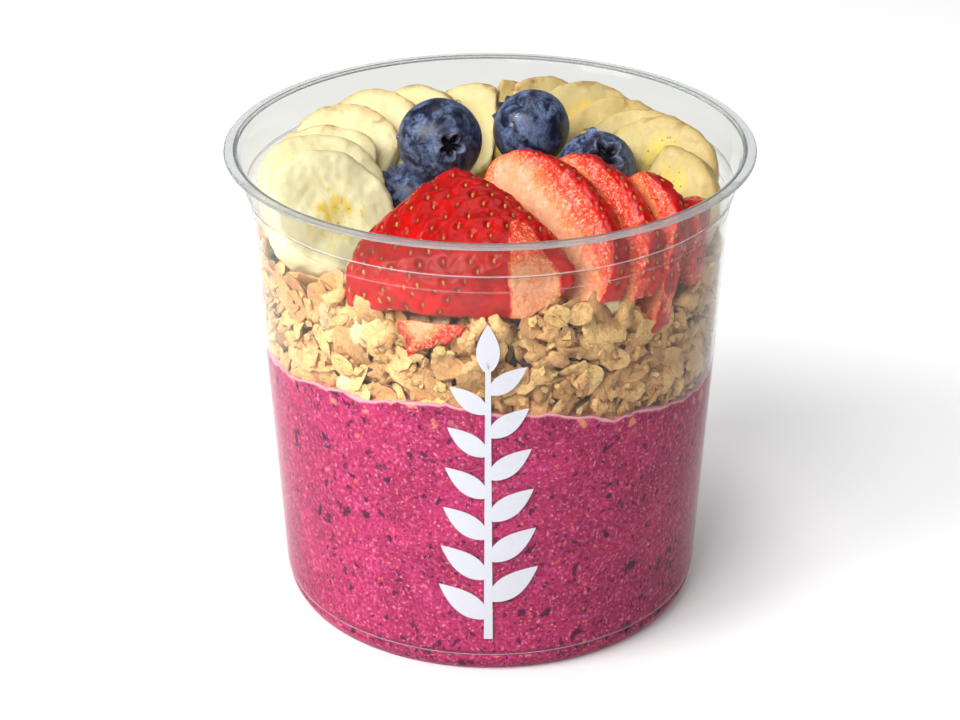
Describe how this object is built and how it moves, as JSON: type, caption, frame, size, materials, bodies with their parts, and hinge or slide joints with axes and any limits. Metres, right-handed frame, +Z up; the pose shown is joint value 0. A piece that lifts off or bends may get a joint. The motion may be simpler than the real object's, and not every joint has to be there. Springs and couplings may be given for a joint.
{
  "type": "acai bowl",
  "caption": "Round clear cup of thick acai puree with a granola layer, a ring of banana slices, blueberries and a fan of strawberry slices on top.",
  "frame": {"origin": "middle of the cup's base, on the surface it stands on", "axes": "+Z up along the cup's axis; -Y towards the side that the strawberry fan faces, as pictured; +X to the right of that view"},
  "size_m": [0.117, 0.117, 0.1161],
  "materials": {
    "clear_cup": "clear, thin, glossy",
    "acai": "thick magenta puree with dark specks",
    "granola": "toasted oat flakes and clusters",
    "banana": "soft moist flesh, yellower at the middle",
    "blueberry": "dark blue skin with pale bloom",
    "strawberry": "wet red skin with seeds, orange-pink cut faces"
  },
  "bodies": {
    "root": {"cup": "clear_cup", "acai": "acai", "granola": "granola", "banana_slice_01": "banana", "banana_slice_02": "banana", "banana_slice_03": "banana", "banana_slice_04": "banana", "banana_slice_05": "banana", "banana_slice_06": "banana", "banana_slice_07": "banana", "banana_slice_08": "banana", "banana_slice_09": "banana", "banana_slice_10": "banana", "banana_slice_11": "banana", "banana_slice_12": "banana", "banana_slice_13": "banana", "banana_slice_14": "banana", "blueberry_1": "blueberry", "blueberry_2": "blueberry", "blueberry_3": "blueberry", "blueberry_4": "blueberry", "strawberry_slice_1": "strawberry", "strawberry_slice_2": "strawberry", "strawberry_slice_3": "strawberry", "strawberry_slice_4": "strawberry", "strawberry_slice_5": "strawberry", "strawberry_slice_6": "strawberry"}
  },
  "joints": []
}
